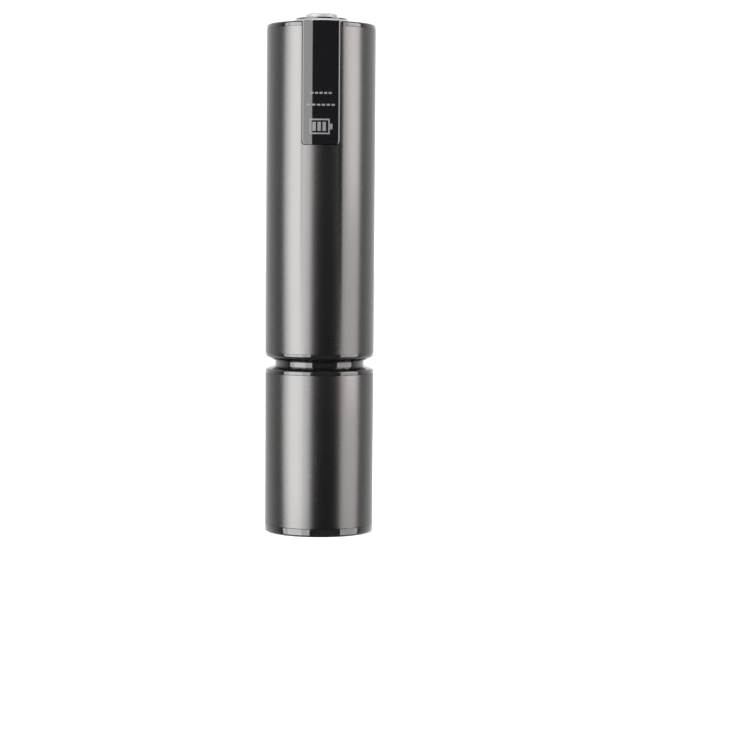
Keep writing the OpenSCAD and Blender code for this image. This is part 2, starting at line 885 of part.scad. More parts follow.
module cross_pin(r, reach) {
  translate([-reach, 0, pin_z]) rotate([0, 90, 0]) cylinder(r = r, h = 2 * reach);
}

module worm_hub() {
  color(PLASTIC) difference() {
    bar(hub_r, hub_z0, hub_z1);
    bar(shaft_r + fit_gap / 2, shaft_z0, hub_z1 + 1);
    cross_pin(worm_pin_r, hub_r + 1);
  }
}

module worm_pin() {
  color(STEEL) cross_pin(worm_pin_r, hub_r - 0.2);
}

// The open coil that bores into the cork, thinning to a point
module worm() {
  root_z = hub_z0 + 1.8;
  per_turn = 28;
  taper = 1.1;
  turns = (root_z - worm_tip_z) / worm_pitch;
  steps = floor(turns * per_turn);
  color(STEEL) swept_wire([for (i = [0 : steps]) let (t = i / per_turn, k = min(1, t / taper))
    [360 * t, worm_centre_r, worm_tip_z + worm_pitch * t,
      worm_wire / 2 * (0.12 + 0.88 * sqrt(k))]], 12);
}

module guide_ears(gap, z0, z1) {
  block([-bottle_bore_r - barrel_wall, -guide_slot_w / 2 + gap, z0],
    [bottle_bore_r + barrel_wall, guide_slot_w / 2 - gap, z1]);
}

// The disc that centres the worm and rides up on the cork
module cork_guide() {
  hole_r = worm_r + 0.8;
  color(IVORY) difference() {
    union() {
      bar(guide_r, guide_z, guide_top_z);
      intersection() {
        guide_ears(0.2, guide_z, guide_top_z);
        bar(cork_bore_r + barrel_wall - 0.4, guide_z, guide_top_z);
      }
    }
    bar(hole_r, guide_z - 1, guide_top_z + 1);
  }
}

module guide_spring() {
  color(STEEL) coil_spring(hub_r + 3, spring_wire / 2, guide_top_z, flange_z, 6, 8, 24);
}

// One moulding: the bottle's bore below the seat, the cork's chamber above it
module inner_barrel() {
  wall_r = bottle_bore_r + barrel_wall;
  upper_r = cork_bore_r + barrel_wall + 0.4;
  color(PLASTIC) difference() {
    rotate_extrude() polygon([
      [bottle_bore_r + bore_lead, barrel_foot_z], [wall_r, barrel_foot_z],
      [wall_r, seat_z + 2], [upper_r, seat_z + 4], [upper_r, flange_z],
      [spigot_r, flange_z], [spigot_r, barrel_top_z], [hub_r + 0.8, barrel_top_z],
      [hub_r + 0.8, flange_z], [cork_bore_r, flange_z], [cork_bore_r, seat_z],
      [relief_r, seat_z], [relief_r, bore_top_z], [bottle_bore_r, bore_top_z],
      [bottle_bore_r, bore_z]]);
    guide_ears(0, seat_z + 0.1, guide_top_z + guide_travel + 0.4);
    barrel_screw_holes(screw_r + 0.2, flange_z - 1, barrel_top_z + 1);
  }
}

module seat_washer() {
  color("dimgray") ring(relief_r - fit_gap, cork_bore_r, seat_z - seat_h, seat_z);
}

upper_sleeve();
lower_sleeve();
top_ring();
button_bezel();
power_button();
control_panel();
upper_end_ring();
neck_ring();
lower_end_ring();
base_ring();
button_spring();
tact_switch();
switch_board();
switch_board_screws();
control_board();
control_chips();
status_leds();
light_pipe();
control_board_screws();
charging_socket();
charge_board();
battery_cell_left();
battery_cell_right();
battery_carrier();
battery_contacts();
motor_can();
motor_end_cap();
motor_magnets();
motor_rotor();
motor_shaft();
motor_screws();
motor_plate();
gearbox_ring_gear();
gearbox_cover();
gearbox_screws();
sun_gear_1();
planet_1a();
planet_1b();
planet_1c();
carrier_1();
carrier_1_pins();
sun_gear_2();
planet_2a();
planet_2b();
planet_2c();
carrier_2();
carrier_2_pins();
output_bush();
chassis_left();
chassis_right();
chassis_screws();
barrel_screws();
worm();
worm_hub();
worm_pin();
cork_guide();
guide_spring();
inner_barrel();
seat_washer();
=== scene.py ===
# %% [markdown]
# # A cordless electric wine opener
# The opener is a motor housing standing on a bottle barrel, with a slim polished neck between
# them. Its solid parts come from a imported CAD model, which is loaded here as a fixed frame in
# metres, +Z up, front towards -Y. This lesson gives each part its finish, turns the visible
# shells into smooth meshes with soft edges, and lights them as a product studio does, with a
# broad softbox on the left and a narrower one on the right.

# %% Load the frame
import json
import math

import bmesh
import bpy
from mathutils import Matrix, Vector

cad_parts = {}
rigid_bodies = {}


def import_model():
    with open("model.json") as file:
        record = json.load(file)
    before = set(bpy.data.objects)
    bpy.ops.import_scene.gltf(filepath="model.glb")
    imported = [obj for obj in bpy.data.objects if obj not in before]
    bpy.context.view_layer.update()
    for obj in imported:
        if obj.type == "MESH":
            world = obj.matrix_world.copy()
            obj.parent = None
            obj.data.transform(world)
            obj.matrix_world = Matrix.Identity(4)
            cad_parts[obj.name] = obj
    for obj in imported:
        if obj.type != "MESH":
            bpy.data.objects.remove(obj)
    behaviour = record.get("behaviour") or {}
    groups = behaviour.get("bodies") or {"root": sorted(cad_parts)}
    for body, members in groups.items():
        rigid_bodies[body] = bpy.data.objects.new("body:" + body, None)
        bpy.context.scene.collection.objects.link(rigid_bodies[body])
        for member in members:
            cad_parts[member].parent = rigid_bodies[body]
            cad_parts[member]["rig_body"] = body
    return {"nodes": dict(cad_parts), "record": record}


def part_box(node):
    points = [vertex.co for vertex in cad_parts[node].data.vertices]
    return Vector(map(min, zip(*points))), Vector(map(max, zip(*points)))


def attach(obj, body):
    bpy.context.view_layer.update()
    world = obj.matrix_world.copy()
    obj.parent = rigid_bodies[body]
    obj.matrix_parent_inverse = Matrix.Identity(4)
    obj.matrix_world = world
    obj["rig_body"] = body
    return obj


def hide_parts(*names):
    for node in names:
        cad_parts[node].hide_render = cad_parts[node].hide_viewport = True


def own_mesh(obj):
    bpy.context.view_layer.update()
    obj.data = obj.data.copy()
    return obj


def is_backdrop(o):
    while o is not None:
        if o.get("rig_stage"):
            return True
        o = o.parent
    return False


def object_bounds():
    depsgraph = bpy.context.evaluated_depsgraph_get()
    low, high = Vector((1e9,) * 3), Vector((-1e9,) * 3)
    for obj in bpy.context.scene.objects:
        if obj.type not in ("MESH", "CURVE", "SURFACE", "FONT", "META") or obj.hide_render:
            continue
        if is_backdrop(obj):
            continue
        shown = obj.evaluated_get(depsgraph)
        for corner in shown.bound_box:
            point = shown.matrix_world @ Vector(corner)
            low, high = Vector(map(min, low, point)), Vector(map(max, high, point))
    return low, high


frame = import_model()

MM = 0.001

nodes = frame["nodes"]
scene = bpy.context.scene
cad_low, cad_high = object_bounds()
tall = cad_high[2] - cad_low[2]
print("loaded", len(nodes), "CAD nodes,", round(tall / MM, 1), "mm tall")

# %% [markdown]
# Every place comes from the frame. A box gives a node's lowest and highest corner, so a
# sleeve's radius is half its box's width, and the rings' levels follow from their own boxes.
# Small sizes are given in millimetres.

# %% Sizes read from the frame
def low_z(node):
    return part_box(node)[0].z


def high_z(node):
    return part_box(node)[1].z


def outer_r(node):
    low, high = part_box(node)
    return (high.x - low.x) / 2


sleeve_r = outer_r("upper_sleeve")
middle_z = (cad_low[2] + cad_high[2]) / 2
print("sleeve radius", round(sleeve_r / MM, 2), "mm")

# %% [markdown]
# The camera stands a little over a metre away, just above the opener's middle, with a long
# lens. So near a camera makes the outline taper slightly, and the rings' edges curve up above
# eye level and down below it. A turn to the right leaves room for a hand on that side, and the
# last angle is the small roll of a held camera.

# %% Camera
CAMERA_DISTANCE = 1.108     # metres, in front of the opener's axis
CAMERA_HEIGHT = 0.1567      # metres, above its foot
LENS = 106.5                # millimetres
PITCH_DOWN = 3.79           # degrees, as are the next two
TURN_RIGHT = 1.28
ROLL = 0.425

camera_data = bpy.data.cameras.new("camera")
camera_data.lens = LENS
camera = bpy.data.objects.new("camera", camera_data)
scene.collection.objects.link(camera)
camera.matrix_world = (
    Matrix.Translation((0, -CAMERA_DISTANCE, CAMERA_HEIGHT))
    @ Matrix.Rotation(math.radians(-TURN_RIGHT), 4, "Z")
    @ Matrix.Rotation(math.radians(90 - PITCH_DOWN), 4, "X")
    @ Matrix.Rotation(math.radians(ROLL), 4, "Z")
)
scene.camera = camera
print("camera at", tuple(round(v, 3) for v in camera.location))

# %% [markdown]
# A satin cylinder shows what stands round it, so the lights decide its look. Each softbox is
# placed by the direction that the curved wall mirrors: an azimuth counted from the camera, and
# the angle that it fills seen from the opener. Its radiance is turned into watts through its
# area.

# %% Helper for softboxes
WHITE = (1.0, 1.0, 1.0)
WARM = (1.0, 0.965, 0.955)


def softbox(name, azimuth, spread, distance, low, high, radiance, color=WHITE):
    width = 2 * distance * math.tan(math.radians(spread / 2))
    height = high - low
    data = bpy.data.lights.new(name, "AREA")
    data.shape = "RECTANGLE"
    data.size, data.size_y = width, height
    data.energy = radiance * math.pi * width * height
    data.color = color
    lamp = bpy.data.objects.new(name, data)
    scene.collection.objects.link(lamp)
    turn = math.radians(azimuth)
    lamp.location = (math.sin(turn) * distance, -math.cos(turn) * distance, (low + high) / 2)
    aim = Vector((0, 0, middle_z)) - lamp.location
    lamp.rotation_mode = "QUATERNION"
    lamp.rotation_quaternion = aim.to_track_quat("-Z", "Y")
    print(name, "gives", round(data.energy, 1), "W")


# %% [markdown]
# A real softbox is brightest round its lamp, so each side has a wide pale panel and a narrower
# one that adds the brighter heart. The right-hand heart is hung high, which dims the right band
# lower down, and both lights on that side are a little warm. A small light above picks out the
# disc and the button.

# %% Studio lights
SIDE_LOW = -0.55            # metres, the lower edge of the side panels

softbox("key_softbox", azimuth=-49.75, spread=62.5, distance=0.95,
        low=SIDE_LOW, high=0.95, radiance=6.0)
softbox("key_heart", azimuth=-52, spread=32, distance=0.92,
        low=SIDE_LOW, high=0.95, radiance=3.1)
softbox("strip_softbox", azimuth=68, spread=44, distance=1.00,
        low=SIDE_LOW, high=0.94, radiance=4.5, color=WARM)
softbox("strip_heart", azimuth=72.5, spread=33, distance=0.97,
        low=0.10, high=1.10, radiance=2.9, color=WARM)
softbox("top_softbox", azimuth=180, spread=70, distance=0.35,
        low=0.90, high=1.40, radiance=1.2)

# %% [markdown]
# The room behind the opener is a white backdrop, while the side where the camera stands is
# dark. The world does this with the azimuth of the direction it is seen in. For sight and for
# soft fill it is plain white.

# %% World
ROOM_DARK = 0.12
ROOM_WHITE = 1.15
SIGHT_WHITE = 1.25
FADE_FROM, FADE_TO = -0.25, 0.60    # how far behind the opener the white begins and is full

world = bpy.data.worlds.new("studio")
scene.world = world
world.use_nodes = True
wt = world.node_tree
wt.nodes.clear()
direction = wt.nodes.new("ShaderNodeTexCoord")
split = wt.nodes.new("ShaderNodeSeparateXYZ")
wt.links.new(direction.outputs["Generated"], split.inputs[0])
fade = wt.nodes.new("ShaderNodeMapRange")
fade.interpolation_type = "SMOOTHSTEP"
fade.inputs["From Min"].default_value = FADE_FROM
fade.inputs["From Max"].default_value = FADE_TO
fade.inputs["To Min"].default_value = ROOM_DARK
fade.inputs["To Max"].default_value = ROOM_WHITE
wt.links.new(split.outputs["Y"], fade.inputs["Value"])
room = wt.nodes.new("ShaderNodeBackground")
wt.links.new(fade.outputs["Result"], room.inputs["Color"])
plain = wt.nodes.new("ShaderNodeBackground")
plain.inputs["Color"].default_value = (1, 1, 1, 1)
plain.inputs["Strength"].default_value = SIGHT_WHITE
rays = wt.nodes.new("ShaderNodeLightPath")
seen = wt.nodes.new("ShaderNodeMath")
seen.operation = "MAXIMUM"
wt.links.new(rays.outputs["Is Camera Ray"], seen.inputs[0])
wt.links.new(rays.outputs["Is Diffuse Ray"], seen.inputs[1])
mix = wt.nodes.new("ShaderNodeMixShader")
wt.links.new(seen.outputs[0], mix.inputs[0])
wt.links.new(room.outputs[0], mix.inputs[1])
wt.links.new(plain.outputs[0], mix.inputs[2])
world_out = wt.nodes.new("ShaderNodeOutputWorld")
wt.links.new(mix.outputs[0], world_out.inputs["Surface"])
scene.view_settings.view_transform = "Standard"
print("world: white behind, dark in front")

# %% [markdown]
# The floor is a pale matt sheet. It is hidden from reflections, because a sheet that size in
# the polished rings would wash out their dark, and the real opener was lit over an open space.

# %% Floor
FLOOR_HALF = 6.0            # metres, from its middle to an edge
FLOOR_GAP = 0.05 * MM       # keeps it just clear of the opener's foot
FLOOR_PALE = 0.86

floor_mesh = bpy.data.meshes.new("floor")
floor_corners = [(-1, -1), (1, -1), (1, 1), (-1, 1)]
floor_mesh.from_pydata([(x * FLOOR_HALF, y * FLOOR_HALF, 0) for x, y in floor_corners],
                       [], [(0, 1, 2, 3)])
floor = bpy.data.objects.new("floor", floor_mesh)
scene.collection.objects.link(floor)
floor.location.z = cad_low[2] - FLOOR_GAP
floor.visible_glossy = False
floor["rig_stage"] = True
floor_paint = bpy.data.materials.new("pale_floor")
floor_paint.use_nodes = True
floor_shader = floor_paint.node_tree.nodes["Principled BSDF"]
floor_shader.inputs["Base Color"].default_value = (FLOOR_PALE, FLOOR_PALE, FLOOR_PALE, 1)
floor_shader.inputs["Roughness"].default_value = 0.9
floor_mesh.materials.append(floor_paint)
print("floor laid at", round(floor.location.z / MM, 2), "mm")

# %% [markdown]
# Several finishes share the same small effects, so each effect is a node group, built once and
# placed in every material with its own values. One helper makes a group with named sockets, and
# the others place the nodes that most effects need: the place on the part, a noise, a sum, and
# the two ways of using a noise.

# %% Helpers for node groups
FLOAT, VECTOR = "NodeSocketFloat", "NodeSocketVector"
RELIEF_HEIGHT = 0.02 * MM


def new_group(name, inputs, outputs):
    group = bpy.data.node_groups.new(name, "ShaderNodeTree")
    for label, kind, value in inputs:
        socket = group.interface.new_socket(name=label, in_out="INPUT", socket_type=kind)
        socket.default_value = value
    for label, kind in outputs:
        group.interface.new_socket(name=label, in_out="OUTPUT", socket_type=kind)
    entry = group.nodes.new("NodeGroupInput")
    leave = group.nodes.new("NodeGroupOutput")
    return group, entry.outputs, leave.inputs


def part_place(tree):
    """The place on the part, in metres."""
    return tree.nodes.new("ShaderNodeTexCoord").outputs["Object"]


def add_noise(tree, place, scale=None, detail=2.0):
    noise = tree.nodes.new("ShaderNodeTexNoise")
    noise.inputs["Detail"].default_value = detail
    if scale is not None:
        noise.inputs["Scale"].default_value = scale
    tree.links.new(place, noise.inputs["Vector"])
    return noise


def add_math(tree, operation, first, second):
    """A Math node on a socket and another socket or a number."""
    node = tree.nodes.new("ShaderNodeMath")
    node.operation = operation
    tree.links.new(first, node.inputs[0])
    if isinstance(second, float):
        node.inputs[1].default_value = second
    else:
        tree.links.new(second, node.inputs[1])
    return node.outputs[0]


def vary_roughness(group, given, result, noise, low, high):
    """Spreads the middle of a noise over the roughness from Low to High."""
    reach = group.nodes.new("ShaderNodeMapRange")
    reach.inputs["From Min"].default_value = low
    reach.inputs["From Max"].default_value = high
    group.links.new(noise.outputs["Fac"], reach.inputs["Value"])
    group.links.new(given["Low"], reach.inputs["To Min"])
    group.links.new(given["High"], reach.inputs["To Max"])
    group.links.new(reach.outputs["Result"], result["Roughness"])


def raise_relief(group, given, result, noise):
    """Turns a noise into the normal of a shallow relief."""
    bump = group.nodes.new("ShaderNodeBump")
    bump.inputs["Distance"].default_value = RELIEF_HEIGHT
    group.links.new(given["Relief"], bump.inputs["Strength"])
    group.links.new(noise.outputs["Fac"], bump.inputs["Height"])
    group.links.new(bump.outputs["Normal"], result["Normal"])


print("helpers for node groups ready")

# %% [markdown]
# Moulded plastic, anodised metal and rubber all have a fine grain. This group gives a roughness
# that drifts between two values and a normal with the grain's relief. The grain is measured in
# the part's own metres, so it has the same size on a big shell and on a small button.

# %% Group: grain
DRIFT_SCALE = 45.0


def build_grain():
    group, given, result = new_group(
        "grain",
        [("Size", FLOAT, 2000.0), ("Relief", FLOAT, 0.1),
         ("Low", FLOAT, 0.3), ("High", FLOAT, 0.4)],
        [("Roughness", FLOAT), ("Normal", VECTOR)])
    place = part_place(group)
    grains = add_noise(group, place, detail=3.0)
    group.links.new(given["Size"], grains.inputs["Scale"])
    drift = add_noise(group, place, DRIFT_SCALE, detail=4.0)
    vary_roughness(group, given, result, drift, 0.35, 0.65)
    raise_relief(group, given, result, grains)
    return group


grain = build_grain()
print("group", grain.name)

# %% [markdown]
# Turned metal carries fine rings from the lathe. They are lines of noise that run round the
# axis, because the noise is read along the radius and the height only and not round the part.

# %% Group: lathe_lines
def build_lathe_lines():
    group, given, result = new_group(
        "lathe_lines",
        [("Density", FLOAT, 6000.0), ("Relief", FLOAT, 0.1),
         ("Low", FLOAT, 0.15), ("High", FLOAT, 0.3)],
        [("Roughness", FLOAT), ("Normal", VECTOR), ("Lines", FLOAT)])
    parts = group.nodes.new("ShaderNodeSeparateXYZ")
    group.links.new(part_place(group), parts.inputs[0])
    flat = group.nodes.new("ShaderNodeCombineXYZ")
    group.links.new(parts.outputs["X"], flat.inputs["X"])
    group.links.new(parts.outputs["Y"], flat.inputs["Y"])
    radius = group.nodes.new("ShaderNodeVectorMath")
    radius.operation = "LENGTH"
    group.links.new(flat.outputs[0], radius.inputs[0])
    turned_place = group.nodes.new("ShaderNodeCombineXYZ")
    group.links.new(radius.outputs["Value"], turned_place.inputs["X"])
    group.links.new(parts.outputs["Z"], turned_place.inputs["Z"])
    lines = add_noise(group, turned_place.outputs[0], detail=4.0)
    group.links.new(given["Density"], lines.inputs["Scale"])
    group.links.new(lines.outputs["Fac"], result["Lines"])
    vary_roughness(group, given, result, lines, 0.3, 0.7)
    raise_relief(group, given, result, lines)
    return group


lathe_lines = build_lathe_lines()
print("group", lathe_lines.name)

# %% [markdown]
# Polished parts are handled, so their shine is broken by faint smudges and a few specks of
# dust. The group puts out one mask for each, and the material decides what they do.

# %% Group: handling
SMUDGE_SCALE = 60.0
SPECK_SCALE = 900.0         # cells to a metre, each with room for one speck
SPECK_EDGE = 0.10           # a speck's radius, in cells
SPECK_SHARE = 0.05          # the share of cells that hold one


def build_handling():
    group, given, result = new_group(
        "handling",
        [("Smudge", FLOAT, 0.5), ("Dust", FLOAT, 0.5)],
        [("Smudges", FLOAT), ("Specks", FLOAT)])
    place = part_place(group)
    touched = add_noise(group, place, SMUDGE_SCALE, detail=6.0)
    touched.inputs["Distortion"].default_value = 0.6
    soft = group.nodes.new("ShaderNodeMapRange")
    soft.inputs["From Min"].default_value = 0.48
    soft.inputs["From Max"].default_value = 0.75
    group.links.new(touched.outputs["Fac"], soft.inputs["Value"])
    group.links.new(given["Smudge"], soft.inputs["To Max"])
    group.links.new(soft.outputs["Result"], result["Smudges"])
    cells = group.nodes.new("ShaderNodeTexVoronoi")
    cells.inputs["Scale"].default_value = SPECK_SCALE
    group.links.new(place, cells.inputs["Vector"])
    speck = group.nodes.new("ShaderNodeMapRange")
    speck.inputs["From Min"].default_value = SPECK_EDGE
    speck.inputs["From Max"].default_value = SPECK_EDGE / 2
    group.links.new(cells.outputs["Distance"], speck.inputs["Value"])
    rare = group.nodes.new("ShaderNodeTexWhiteNoise")
    group.links.new(cells.outputs["Position"], rare.inputs["Vector"])
    few = add_math(group, "LESS_THAN", rare.outputs["Value"], SPECK_SHARE)
    chosen = add_math(group, "MULTIPLY", speck.outputs["Result"], few)
    dust = add_math(group, "MULTIPLY", chosen, given["Dust"])
    group.links.new(dust, result["Specks"])
    return group


handling = build_handling()
print("group", handling.name)

# %% [markdown]
# Each finish is a Principled shader with its plain numbers set on its own sockets. Only what
# changes over the surface comes through a link. These helpers start a material and place a
# group in it.

# %% Helpers for materials
materials = {}
MIX_A, MIX_B, MIX_COLOR = 6, 7, 2       # the sockets of a Mix node that carry colours


def start(name, color, metallic=0.0, roughness=0.5, **sockets):
    material = bpy.data.materials.new(name)
    material.use_nodes = True
    shader = material.node_tree.nodes["Principled BSDF"]
    shader.inputs["Base Color"].default_value = (*color, 1)
    shader.inputs["Metallic"].default_value = metallic
    shader.inputs["Roughness"].default_value = roughness
    for label, value in sockets.items():
        shader.inputs[label.replace("_", " ")].default_value = value
    materials[name] = material
    return material.node_tree, shader


def place_group(tree, group, **values):
    node = tree.nodes.new("ShaderNodeGroup")
    node.node_tree = group
    for label, value in values.items():
        node.inputs[label].default_value = value
    return node.outputs


def tint(tree, shader, fac, dark, light):
    """Drives the base colour between two colours by a mask."""
    mix_color = tree.nodes.new("ShaderNodeMix")
    mix_color.data_type = "RGBA"
    mix_color.inputs[MIX_A].default_value = (*dark, 1)
    mix_color.inputs[MIX_B].default_value = (*light, 1)
    tree.links.new(fac, mix_color.inputs[0])
    tree.links.new(mix_color.outputs[MIX_COLOR], shader.inputs["Base Color"])


def finish_with(tree, shader, group, **values):
    """Places grain or lathe lines and links both of its effects to the shader."""
    made = place_group(tree, group, **values)
    tree.links.new(made["Roughness"], shader.inputs["Roughness"])
    tree.links.new(made["Normal"], shader.inputs["Normal"])
    return made


print("helpers for materials ready")

# %% [markdown]
# The sleeves are metal with a dark satin coat. It reflects little face on, a twelfth of the
# light, and much more at the rims, so a low base colour with full metallic gives both the dark
# middle and the bright edges.

# %% Satin gunmetal
FLAKE_SCALE = 7000.0        # metal flakes to a metre

tree, shader = start("satin_gunmetal", (0.079, 0.077, 0.076), 1.0, 0.27)
finish_with(tree, shader, grain, Size=5200.0, Relief=0.05, Low=0.264, High=0.278)
flake = tree.nodes.new("ShaderNodeTexVoronoi")
flake.inputs["Scale"].default_value = FLAKE_SCALE
tree.links.new(part_place(tree), flake.inputs["Vector"])
tint(tree, shader, flake.outputs["Distance"], (0.086, 0.084, 0.083), (0.072, 0.070, 0.069))
print("satin gunmetal ready")

# %% [markdown]
# The end rings, the neck, the base and the front strip are polished black plastic: almost
# black, very smooth, with a clear coat, a trace of smudging in its roughness and rare specks of
# dust.

# %% Gloss black
RING_BLACK = (0.004, 0.004, 0.0045)
PANEL_BLACK = (0.002, 0.002, 0.0025)
DUST_GREY = (0.10, 0.10, 0.10)
RING_COAT = 0.35
CLEAN_ROUGHNESS, SMUDGED_ROUGHNESS = 0.045, 0.16


def gloss_black(name, color, smudge, dust, coat):
    tree, shader = start(name, color, 0.0, 0.06, Coat_Weight=coat, Coat_Roughness=0.03,
                         Specular_IOR_Level=0.5)
    masks = place_group(tree, handling, Smudge=smudge, Dust=dust)
    rough = tree.nodes.new("ShaderNodeMapRange")
    rough.inputs["To Min"].default_value = CLEAN_ROUGHNESS
    rough.inputs["To Max"].default_value = SMUDGED_ROUGHNESS
    tree.links.new(masks["Smudges"], rough.inputs["Value"])
    tree.links.new(rough.outputs["Result"], shader.inputs["Roughness"])
    tint(tree, shader, masks["Specks"], color, DUST_GREY)
    return tree, shader, rough.outputs["Result"]


gloss_black("gloss_black", RING_BLACK, smudge=0.5, dust=0.6, coat=RING_COAT)
gloss_black("panel_gloss", PANEL_BLACK, smudge=0.35, dust=0.4, coat=0.05)
print("gloss blacks ready")

# %% [markdown]
# The top ring is polished on its edge only. Its flat face, where a thumb rests, is a duller
# black without the clear coat, so it doesn't mirror the lights. A mask of the faces that look
# straight up makes the change.

# %% Duller flat face of the top ring
FLAT_FROM = 0.95            # the upward share of a face's direction that counts as flat
FLAT_ROUGHNESS = 0.42

tree, shader, polish = gloss_black("top_black", RING_BLACK, smudge=0.5, dust=0.6, coat=RING_COAT)
facing = tree.nodes.new("ShaderNodeNewGeometry")
parts = tree.nodes.new("ShaderNodeSeparateXYZ")
tree.links.new(facing.outputs["Normal"], parts.inputs[0])
flat = add_math(tree, "GREATER_THAN", parts.outputs["Z"], FLAT_FROM)
dulled = tree.nodes.new("ShaderNodeMix")
tree.links.new(flat, dulled.inputs["Factor"])
tree.links.new(polish, dulled.inputs["A"])
dulled.inputs["B"].default_value = FLAT_ROUGHNESS
tree.links.new(dulled.outputs["Result"], shader.inputs["Roughness"])
coat = tree.nodes.new("ShaderNodeMapRange")
coat.inputs["To Min"].default_value = RING_COAT
coat.inputs["To Max"].default_value = 0.0
tree.links.new(flat, coat.inputs["Value"])
tree.links.new(coat.outputs["Result"], shader.inputs["Coat Weight"])
print("top black ready, flat face roughness", FLAT_ROUGHNESS)

# %% [markdown]
# The raised disc is bright satin metal with fine lathe rings. The button in it is a pale grey
# moulding, matt enough to look the same from every side, and the printing on the panel is a
# thin grey ink with a broken edge.

# %% Bright metal, button and ink
PATCH_SCALE = 2500.0

tree, shader = start("bright_metal", (0.38, 0.38, 0.39), 1.0, 0.24)
finish_with(tree, shader, lathe_lines, Density=5200.0, Relief=0.12, Low=0.20, High=0.30)

tree, shader = start("button_grey", (0.22, 0.22, 0.223), 0.0, 0.38)
made = finish_with(tree, shader, lathe_lines, Density=3000.0, Relief=0.06, Low=0.34, High=0.42)
tint(tree, shader, made["Lines"], (0.205, 0.205, 0.208), (0.235, 0.235, 0.238))

tree, shader = start("printed_ink", (0.075, 0.075, 0.078), 0.0, 0.5)
finish_with(tree, shader, grain, Size=9000.0, Relief=0.15, Low=0.42, High=0.60)
patchy = add_noise(tree, part_place(tree), PATCH_SCALE)
tint(tree, shader, patchy.outputs["Fac"], (0.050, 0.050, 0.053), (0.10, 0.10, 0.104))
print("bright metal, button and ink ready")

# %% [markdown]
# The pieces inside never catch the studio light, but they are seen when a shell is lifted off,
# so each has its own finish too: drawn wire, machined steel and brass, moulded plastics,
# boards, magnets, cells and rubber.

# %% Inner finishes
TURNED_LINES = 4800.0
SPECKLE_SCALE = 160.0


def turned(name, dark, light, low, high, relief=0.2):
    tree, shader = start(name, light, 1.0, low)
    made = finish_with(tree, shader, lathe_lines,
                       Density=TURNED_LINES, Relief=relief, Low=low, High=high)
    tint(tree, shader, made["Lines"], dark, light)


def moulded(name, dark, light, low, high, size=2600.0, relief=0.25, **sockets):
    tree, shader = start(name, light, 0.0, low, **sockets)
    finish_with(tree, shader, grain, Size=size, Relief=relief, Low=low, High=high)
    speckle = add_noise(tree, part_place(tree), SPECKLE_SCALE)
    tint(tree, shader, speckle.outputs["Fac"], dark, light)


turned("spring_steel", (0.40, 0.40, 0.41), (0.62, 0.62, 0.63), 0.20, 0.34)
turned("steel", (0.44, 0.44, 0.45), (0.66, 0.66, 0.67), 0.18, 0.32)
turned("worm_steel", (0.55, 0.55, 0.56), (0.72, 0.72, 0.73), 0.10, 0.20, relief=0.12)
turned("copper_brass", (0.52, 0.33, 0.11), (0.74, 0.53, 0.24), 0.20, 0.34)
moulded("circuit_board", (0.008, 0.075, 0.028), (0.014, 0.11, 0.045), 0.28, 0.42,
        Coat_Weight=0.2)
moulded("black_plastic", (0.012, 0.012, 0.013), (0.022, 0.022, 0.024), 0.42, 0.58)
moulded("magnet", (0.035, 0.035, 0.037), (0.075, 0.075, 0.08), 0.55, 0.75, relief=0.5)
moulded("ivory_plastic", (0.66, 0.62, 0.53), (0.76, 0.73, 0.65), 0.34, 0.48,
        Subsurface_Weight=0.05)
moulded("clear_plastic", (0.72, 0.74, 0.74), (0.86, 0.87, 0.87), 0.30, 0.45,
        Subsurface_Weight=0.2)
moulded("cell_wrap", (0.015, 0.075, 0.20), (0.025, 0.11, 0.28), 0.16, 0.28, size=700.0,
        Coat_Weight=0.4)
moulded("rubber", (0.016, 0.016, 0.017), (0.034, 0.034, 0.036), 0.62, 0.80, relief=0.5)
print(len(materials), "finishes ready")

# %% [markdown]
# The record names a finish slot for each CAD node, so the nodes are dressed by slot. The worm
# has a finer polish than the other steel, and the front strip a deeper black than the rings.

# %% Dress the CAD nodes
OWN_FINISH = {"worm": "worm_steel", "control_panel": "panel_gloss"}

finish_slots = {part["node"]: part["material_slot"] for part in frame["record"]["subparts"]}
for node, slot in finish_slots.items():
    mesh = nodes[node].data
    mesh.materials.clear()
    mesh.materials.append(materials[OWN_FINISH.get(node, slot)])
print("dressed", len(finish_slots), "nodes")

# %% [markdown]
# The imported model's edges are knife sharp, and no turned or moulded edge is. A dark hairline
# also shows where a sleeve meets its polished ring, because both edges are eased. So each shell
# that shows gets a visible twin: its triangles are merged back into flat faces, a bevel eases
# the sharp edges, and the twin stands for the node.

# %% Helpers for soft edges
SAME_POINT = 0.001 * MM
SAME_FACE = math.radians(0.3)
SHARP_EDGE = math.radians(35)
SMOOTH_BELOW = math.radians(28)


def show_instead(piece, node, finish):
    """Dresses a new piece, hides the CAD node it stands for, and lets it ride on the same body."""
    scene.collection.objects.link(piece)
    piece.data.materials.clear()
    piece.data.materials.append(materials[finish])
    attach(piece, nodes[node]["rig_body"])
    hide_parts(node)
    return piece


